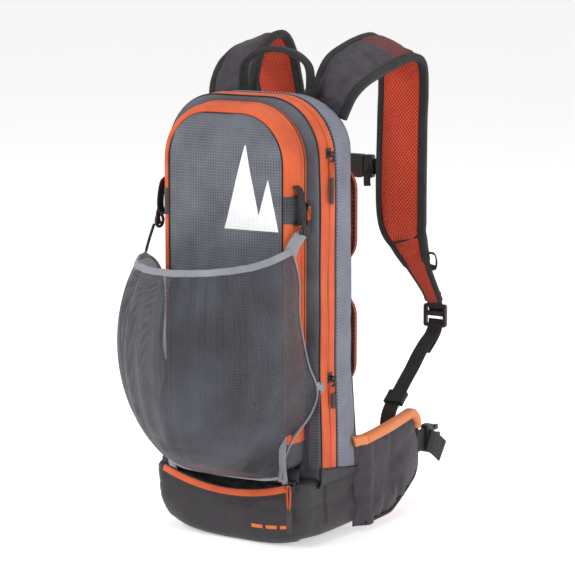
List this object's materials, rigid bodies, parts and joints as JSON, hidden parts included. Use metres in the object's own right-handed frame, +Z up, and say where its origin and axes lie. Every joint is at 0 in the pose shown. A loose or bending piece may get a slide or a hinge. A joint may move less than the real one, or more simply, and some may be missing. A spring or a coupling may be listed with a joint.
{
  "type": "ski backpack",
  "caption": "Slim ski backpack with a fold-down front, an outside helmet net over an arched pocket, padded shoulder straps, a sternum strap and hip wings.",
  "frame": {"origin": "middle of the flat bottom of the base", "axes": "+Z up, -Y the outer front with the helmet net, +Y the wearer's side, +X to the right seen from the front"},
  "size_m": [0.221, 0.413, 0.5272],
  "materials": {
    "grey_fabric": "grey checked ripstop",
    "side_fabric": "lighter ribbed grey",
    "orange_fabric": "woven orange binding and gusset",
    "orange_mesh": "open air mesh over foam",
    "charcoal_fabric": "smooth coated woven",
    "black_webbing": "ribbed webbing",
    "net_fabric": "stretch mesh, see-through",
    "binding_grey": "light grey elastic binding",
    "lining": "thin black lining",
    "black_plastic": "moulded acetal",
    "stiffener": "extruded sheet",
    "zip_metal": "black lacquered die cast",
    "pull_cord": "orange cord with moulded end"
  },
  "bodies": {
    "pack": {"back_panel": "charcoal_fabric", "frame_sheet": "stiffener", "bladder_sleeve": "lining", "side_panel_left": "side_fabric", "side_panel_right": "side_fabric", "top_panel": "side_fabric", "base_shell": "charcoal_fabric", "base_divider": "lining", "base_zip_tape_lower": "orange_fabric", "base_zip_tape_upper": "orange_fabric", "main_zip_tape_rear": "orange_fabric", "back_pad_upper": "orange_mesh", "back_pad_lower": "orange_mesh", "lumbar_pad": "orange_mesh", "shoulder_strap_left": "charcoal_fabric", "shoulder_strap_right": "charcoal_fabric", "strap_webbing_left": "black_webbing", "strap_webbing_right": "black_webbing"},
    "flap": {"front_panel": "grey_fabric", "pocket_face": "grey_fabric", "pocket_gusset": "orange_fabric", "pocket_piping": "orange_fabric", "pocket_zip_tape": "black_webbing", "main_zip_tape_front": "orange_fabric", "helmet_net": "net_fabric", "net_binding": "binding_grey", "net_bands": "binding_grey", "gear_loops": "black_webbing", "net_hooks": "black_plastic", "net_cord": "black_webbing", "net_tab": "binding_grey"},
    "grab_handle": {"grab_handle": "black_webbing"},
    "ladder_lock_left": {"ladder_lock_left": "black_plastic"},
    "ladder_lock_right": {"ladder_lock_right": "black_plastic"},
    "keeper_left": {"webbing_keeper_left": "black_webbing"},
    "keeper_right": {"webbing_keeper_right": "black_webbing"},
    "wing_left": {"hip_wing_left": "charcoal_fabric", "wing_webbing_left": "black_webbing"},
    "wing_right": {"hip_wing_right": "charcoal_fabric", "wing_webbing_right": "black_webbing"},
    "hip_female": {"hip_buckle_female": "black_plastic"},
    "hip_male": {"hip_buckle_male": "black_plastic"},
    "hip_prong_upper": {"hip_prong_upper": "black_plastic"},
    "hip_prong_lower": {"hip_prong_lower": "black_plastic"},
    "sternum": {"sternum_slider_left": "black_plastic", "sternum_slider_right": "black_plastic", "sternum_webbing_left": "black_webbing", "sternum_buckle_female": "black_plastic"},
    "sternum_male": {"sternum_buckle_male": "black_plastic", "sternum_webbing_right": "black_webbing"},
    "sternum_prong_upper": {"sternum_prong_upper": "black_plastic"},
    "sternum_prong_lower": {"sternum_prong_lower": "black_plastic"},
    "main_upper_slider": {"main_upper_slider": "zip_metal"},
    "main_upper_pull": {"main_upper_pull": "pull_cord"},
    "main_lower_slider": {"main_lower_slider": "zip_metal"},
    "main_lower_pull": {"main_lower_pull": "pull_cord"},
    "pocket_slider": {"pocket_slider": "zip_metal"},
    "pocket_pull": {"pocket_pull": "pull_cord"},
    "base_slider": {"base_slider": "zip_metal"},
    "base_pull": {"base_pull": "pull_cord"}
  },
  "joints": [
    {"name": "flap_fold", "type": "hinge", "parent": "pack", "child": "flap", "pos_m": [0, -0.061, 0.078], "axis": [1, 0, 0], "range_deg": [0, 40]},
    {"name": "handle_fold", "type": "hinge", "parent": "pack", "child": "grab_handle", "pos_m": [0, 0.033, 0.48], "axis": [1, 0, 0], "range_deg": [0, 75]},
    {"name": "ladder_lock_tilt_left", "type": "hinge", "parent": "pack", "child": "ladder_lock_left", "pos_m": [-0.087, 0.21975, 0.219], "axis": [1, 0, 0], "range_deg": [-20, 20]},
    {"name": "ladder_lock_tilt_right", "type": "hinge", "parent": "pack", "child": "ladder_lock_right", "pos_m": [0.087, 0.21975, 0.219], "axis": [1, 0, 0], "range_deg": [-20, 20]},
    {"name": "keeper_slide_left", "type": "slide", "parent": "wing_left", "child": "keeper_left", "axis": [0, 0.8, 0.6], "range_m": [0, 0.012]},
    {"name": "keeper_slide_right", "type": "slide", "parent": "wing_right", "child": "keeper_right", "axis": [0, 0.8, 0.6], "range_m": [0, 0.012]},
    {"name": "wing_swing_left", "type": "hinge", "parent": "pack", "child": "wing_left", "pos_m": [-0.1035, 0.045, 0.06], "axis": [0, 0, -1], "range_deg": [-20, 30]},
    {"name": "wing_swing_right", "type": "hinge", "parent": "pack", "child": "wing_right", "pos_m": [0.1035, 0.045, 0.06], "axis": [0, 0, 1], "range_deg": [-20, 30]},
    {"name": "hip_female_tilt", "type": "hinge", "parent": "wing_left", "child": "hip_female", "pos_m": [-0.0993, 0.1862, 0.074], "axis": [0, 0, 1], "range_deg": [-25, 25]},
    {"name": "hip_male_tilt", "type": "hinge", "parent": "wing_right", "child": "hip_male", "pos_m": [0.0993, 0.18668, 0.074], "axis": [0, 0, 1], "range_deg": [-25, 25]},
    {"name": "hip_prong_squeeze_upper", "type": "hinge", "parent": "hip_male", "child": "hip_prong_upper", "pos_m": [0.0993, 0.19376, 0.08216], "axis": [1, 0, 0], "range_deg": [0, 8], "stiffness_Nm_per_rad": 0.05},
    {"name": "hip_prong_squeeze_lower", "type": "hinge", "parent": "hip_male", "child": "hip_prong_lower", "pos_m": [0.0993, 0.19376, 0.06584], "axis": [-1, 0, 0], "range_deg": [0, 8], "stiffness_Nm_per_rad": 0.05},
    {"name": "sternum_height", "type": "slide", "parent": "pack", "child": "sternum", "axis": [0, 0, 1], "range_m": [-0.025, 0.025]},
    {"name": "sternum_release", "type": "slide", "parent": "sternum", "child": "sternum_male", "axis": [1, 0, 0], "range_m": [0, 0.022]},
    {"name": "sternum_prong_squeeze_upper", "type": "hinge", "parent": "sternum_male", "child": "sternum_prong_upper", "pos_m": [0.0152, 0.197, 0.3808], "axis": [0, -1, 0], "range_deg": [0, 8], "stiffness_Nm_per_rad": 0.03},
    {"name": "sternum_prong_squeeze_lower", "type": "hinge", "parent": "sternum_male", "child": "sternum_prong_lower", "pos_m": [0.0152, 0.197, 0.3672], "axis": [0, 1, 0], "range_deg": [0, 8], "stiffness_Nm_per_rad": 0.03},
    {"name": "main_upper_slide", "type": "slide", "parent": "pack", "child": "main_upper_slider", "axis": [-0.01, 0, 0.9999], "range_m": [-0.15, 0]},
    {"name": "main_upper_pull_swing", "type": "hinge", "parent": "main_upper_slider", "child": "main_upper_pull", "pos_m": [0.09998, -0.018, 0.412], "axis": [0, -1, 0], "range_deg": [0, 100]},
    {"name": "main_lower_slide", "type": "slide", "parent": "pack", "child": "main_lower_slider", "axis": [-0.01, 0, 0.9999], "range_m": [-0.08, 0.02]},
    {"name": "main_lower_pull_swing", "type": "hinge", "parent": "main_lower_slider", "child": "main_lower_pull", "pos_m": [0.10233, -0.018, 0.178], "axis": [0, -1, 0], "range_deg": [0, 100]},
    {"name": "pocket_slide", "type": "slide", "parent": "flap", "child": "pocket_slider", "axis": [0, 0, 1], "range_m": [-0.12, 0.04]},
    {"name": "pocket_pull_swing", "type": "hinge", "parent": "pocket_slider", "child": "pocket_pull", "pos_m": [0.0856, -0.04, 0.357], "axis": [0, -1, 0], "range_deg": [0, 100]},
    {"name": "base_slide", "type": "hinge", "parent": "pack", "child": "base_slider", "pos_m": [0, -0.0626, 0.276], "axis": [0, 1, 0], "range_deg": [0, 42.24]},
    {"name": "base_pull_swing", "type": "hinge", "parent": "base_slider", "child": "base_pull", "pos_m": [0.08, -0.069, 0.06892], "axis": [-1, 0, 0], "range_deg": [0, 90]}
  ],
  "couplings": [
    {"joint": "hip_prong_squeeze_lower", "follows": "hip_prong_squeeze_upper", "ratio": 1},
    {"joint": "sternum_prong_squeeze_lower", "follows": "sternum_prong_squeeze_upper", "ratio": 1}
  ]
}
